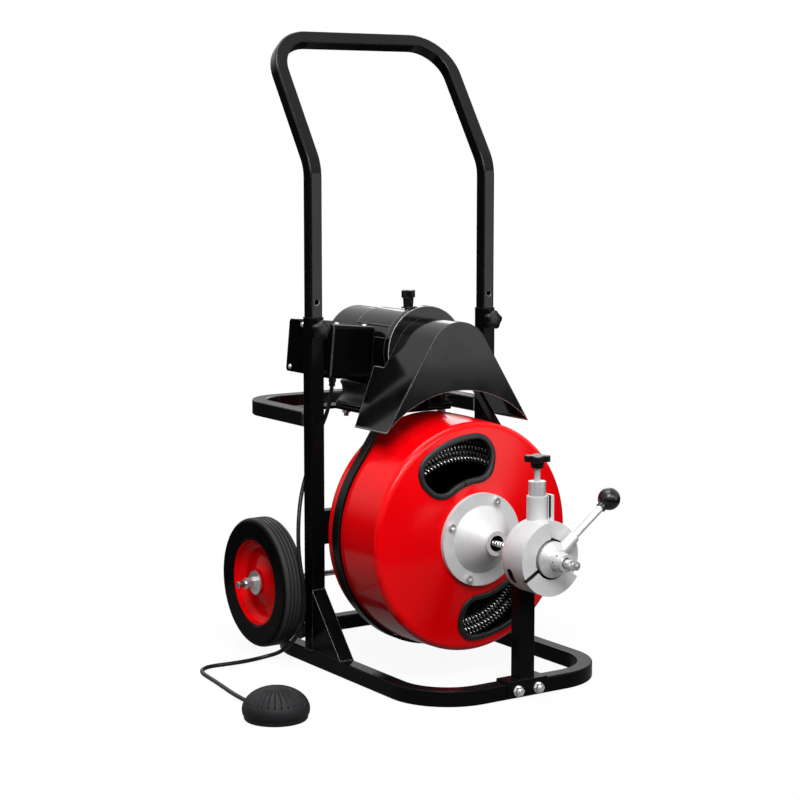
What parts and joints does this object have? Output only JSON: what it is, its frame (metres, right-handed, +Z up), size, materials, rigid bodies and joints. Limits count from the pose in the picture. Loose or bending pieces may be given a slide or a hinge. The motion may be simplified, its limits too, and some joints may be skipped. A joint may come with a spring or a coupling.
{
  "type": "drain cleaning machine",
  "caption": "Drain cleaning machine on a wheeled tube frame: belt driven cable drum with windows, feed head with lever, guarded motor, sliding handle and foot pedal",
  "frame": {"origin": "middle of the footprint, without the foot pedal and its hose, on the floor", "axes": "+Z up, the cable leaves towards -Y, +X to the right of someone who faces the cable outlet"},
  "size_m": [0.682, 0.693, 1.0132],
  "materials": {
    "black_paint": "gloss powder coat",
    "red_paint": "gloss paint",
    "cast_grey": "satin casting",
    "chrome": "bright plating",
    "zinc": "zinc plating",
    "steel": "machined steel",
    "winding": "laminations and copper wire",
    "black_plastic": "moulded plastic",
    "trim_rubber": "smooth rubber",
    "pedal_rubber": "matt rubber",
    "tyre": "matt rubber"
  },
  "bodies": {
    "frame": {"base_loop": "black_paint", "left_upright": "black_paint", "right_upright": "black_paint", "left_gusset": "black_paint", "right_gusset": "black_paint", "rear_bar": "black_paint", "axle": "steel", "axle_washers": "zinc", "axle_nuts": "zinc", "bearing_beam": "black_paint", "ball_bearings": "steel", "motor_plate": "black_paint", "frame_bolts": "zinc", "motor_housing": "black_paint", "motor_cover": "black_paint", "stator": "winding", "belt_guard": "black_paint", "guard_collar": "black_paint", "drive_belt": "trim_rubber", "control_box": "black_paint", "box_lid": "black_paint", "box_screws": "zinc", "box_glands": "black_plastic", "front_post": "black_paint", "feed_head": "cast_grey", "nose_bushing": "chrome", "plunger_sleeve": "chrome", "pedal_base": "pedal_rubber", "pedal_hose": "pedal_rubber"},
    "drum": {"drum_shaft": "steel", "drum_rear_shell": "red_paint", "drum_front_shell": "red_paint", "window_trims": "trim_rubber", "hub_cone": "cast_grey", "hub_screws": "zinc", "cable_coil": "steel", "cable_lead": "steel", "cable_tip": "chrome"},
    "motor_rotor": {"rotor": "steel", "drive_pulley": "steel", "fan": "black_plastic"},
    "left_wheel": {"left_rim": "red_paint", "left_tyre": "tyre"},
    "right_wheel": {"right_rim": "red_paint", "right_tyre": "tyre"},
    "handle": {"handle": "black_paint"},
    "left_clamp": {"left_clamp_knob": "black_plastic"},
    "right_clamp": {"right_clamp_knob": "black_plastic"},
    "guard_clamp": {"guard_knob": "black_plastic"},
    "feed_lever": {"lever": "chrome", "lever_ball": "black_plastic"},
    "yoke": {"roller_yoke": "steel"},
    "pressure_hand_screw": {"pressure_screw": "chrome", "pressure_knob": "black_plastic"},
    "top_feed_roller": {"top_roller": "steel"},
    "left_feed_roller": {"left_roller": "steel"},
    "right_feed_roller": {"right_roller": "steel"},
    "pedal_button": {"pedal_dome": "pedal_rubber"},
    "rocker": {"rocker_switch": "black_plastic"}
  },
  "joints": [
    {"name": "drum_spin", "type": "hinge", "parent": "frame", "child": "drum", "pos_m": [0, 0.1065, 0.223], "axis": [0, -1, 0], "continuous": true},
    {"name": "motor_spin", "type": "hinge", "parent": "frame", "child": "motor_rotor", "pos_m": [0, 0.1165, 0.5035], "axis": [0, -1, 0], "continuous": true},
    {"name": "left_wheel_spin", "type": "hinge", "parent": "frame", "child": "left_wheel", "pos_m": [-0.208, 0.2115, 0.122], "axis": [1, 0, 0], "continuous": true},
    {"name": "right_wheel_spin", "type": "hinge", "parent": "frame", "child": "right_wheel", "pos_m": [0.208, 0.2115, 0.122], "axis": [1, 0, 0], "continuous": true},
    {"name": "handle_slide", "type": "slide", "parent": "frame", "child": "handle", "axis": [0, 0, 1], "range_m": [-0.21, 0]},
    {"name": "left_clamp_turn", "type": "hinge", "parent": "frame", "child": "left_clamp", "pos_m": [-0.167, 0.0925, 0.542], "axis": [0, -1, 0], "range_deg": [-360, 360]},
    {"name": "right_clamp_turn", "type": "hinge", "parent": "frame", "child": "right_clamp", "pos_m": [0.167, 0.0925, 0.542], "axis": [0, -1, 0], "range_deg": [-360, 360]},
    {"name": "guard_clamp_turn", "type": "hinge", "parent": "frame", "child": "guard_clamp", "pos_m": [0, 0.0965, 0.58], "axis": [0, 0, 1], "range_deg": [-360, 360]},
    {"name": "feed_lever_swing", "type": "hinge", "parent": "frame", "child": "feed_lever", "pos_m": [0, -0.289, 0.223], "axis": [0, -1, 0], "range_deg": [-28, 28]},
    {"name": "yoke_slide", "type": "slide", "parent": "frame", "child": "yoke", "axis": [0, 0, 1], "range_m": [-0.003, 0.003]},
    {"name": "pressure_turn", "type": "hinge", "parent": "yoke", "child": "pressure_hand_screw", "pos_m": [0, -0.2495, 0.36], "axis": [0, 0, 1], "range_deg": [-720.5, 720.5]},
    {"name": "top_roller_spin", "type": "hinge", "parent": "yoke", "child": "top_feed_roller", "pos_m": [0, -0.2495, 0.2425], "axis": [0, 1, 0], "continuous": true},
    {"name": "left_roller_spin", "type": "hinge", "parent": "frame", "child": "left_feed_roller", "pos_m": [-0.01429, -0.254, 0.21475], "axis": [0, 1, 0], "continuous": true},
    {"name": "right_roller_spin", "type": "hinge", "parent": "frame", "child": "right_feed_roller", "pos_m": [0.01429, -0.254, 0.21475], "axis": [0, 1, 0], "continuous": true},
    {"name": "pedal_press", "type": "slide", "parent": "frame", "child": "pedal_button", "axis": [0, 0, -1], "range_m": [0, 0.008], "stiffness_N_per_m": 2000, "springref_m": -0.001},
    {"name": "rocker_tip", "type": "hinge", "parent": "frame", "child": "rocker", "pos_m": [-0.08407, 0.2425, 0.49997], "axis": [-0.9954, 0, 0.0958], "range_deg": [0, 20]}
  ],
  "couplings": [
    {"joint": "motor_spin", "follows": "drum_spin", "ratio": 6.2685},
    {"joint": "pressure_turn", "follows": "yoke_slide", "rad_per_m": 4188.8}
  ]
}
